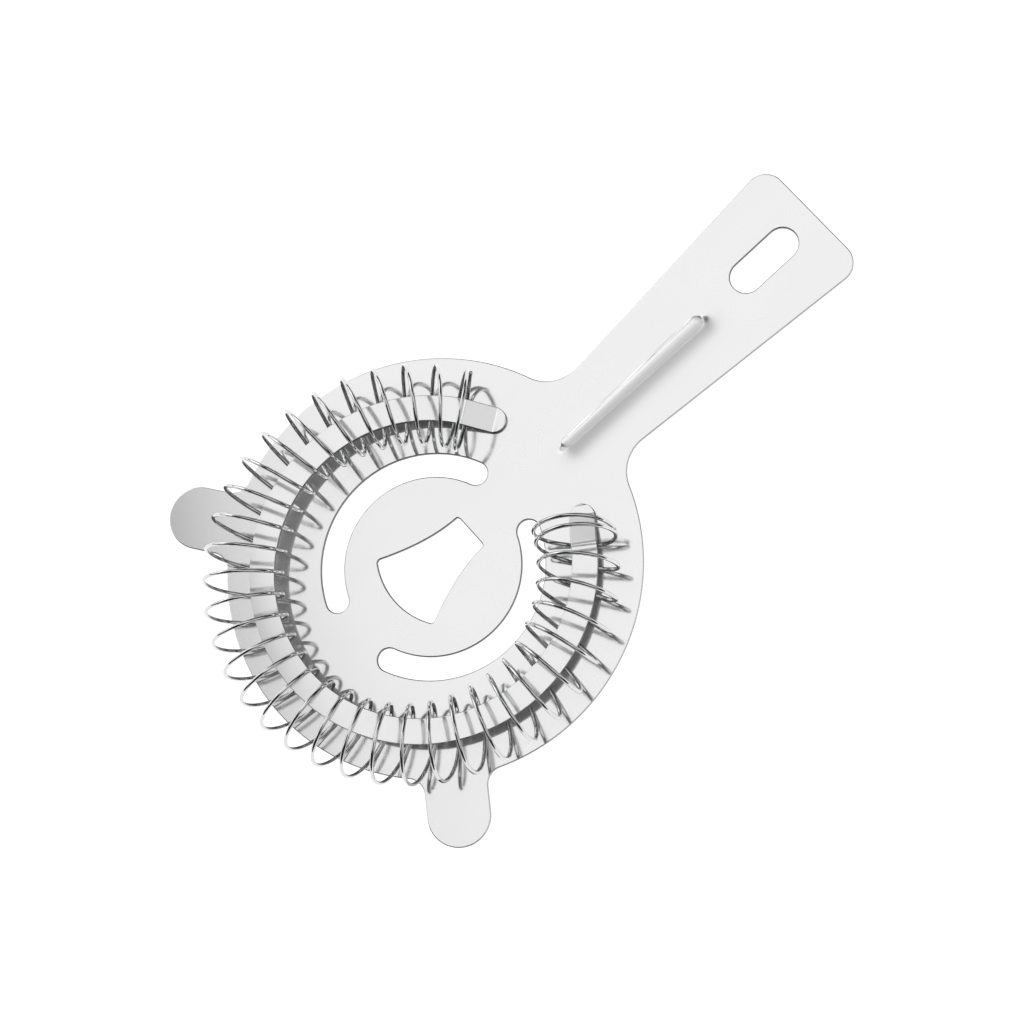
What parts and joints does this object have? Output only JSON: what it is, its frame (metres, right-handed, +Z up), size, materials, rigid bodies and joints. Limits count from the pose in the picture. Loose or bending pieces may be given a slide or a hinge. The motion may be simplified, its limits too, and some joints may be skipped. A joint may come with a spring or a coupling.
{
  "type": "hawthorne strainer",
  "caption": "Cocktail strainer: flat steel plate with long handle, two prongs, arc slots and a coil spring that seals inside the rim of a shaker.",
  "frame": {"origin": "on the surface it lies on, under the middle of the whole outline", "axes": "+X along the handle, towards its end; +Z up, out of the spring side of the plate; +Y across the plate"},
  "size_m": [0.1488, 0.0942, 0.0177],
  "materials": {
    "plate_steel": "satin, fine straight brushing along the handle",
    "strap_steel": "smooth satin strip",
    "spring_wire": "bright drawn stainless wire"
  },
  "bodies": {
    "plate": {"strainer_plate": "plate_steel", "spring_carrier": "strap_steel"},
    "spring": {"coil_spring": "spring_wire"}
  },
  "joints": [
    {"name": "spring_gate", "type": "slide", "parent": "plate", "child": "spring", "axis": [1, 0, 0], "range_m": [0, 0.004], "stiffness_N_per_m": 300, "deforming": ["coil_spring"]}
  ]
}
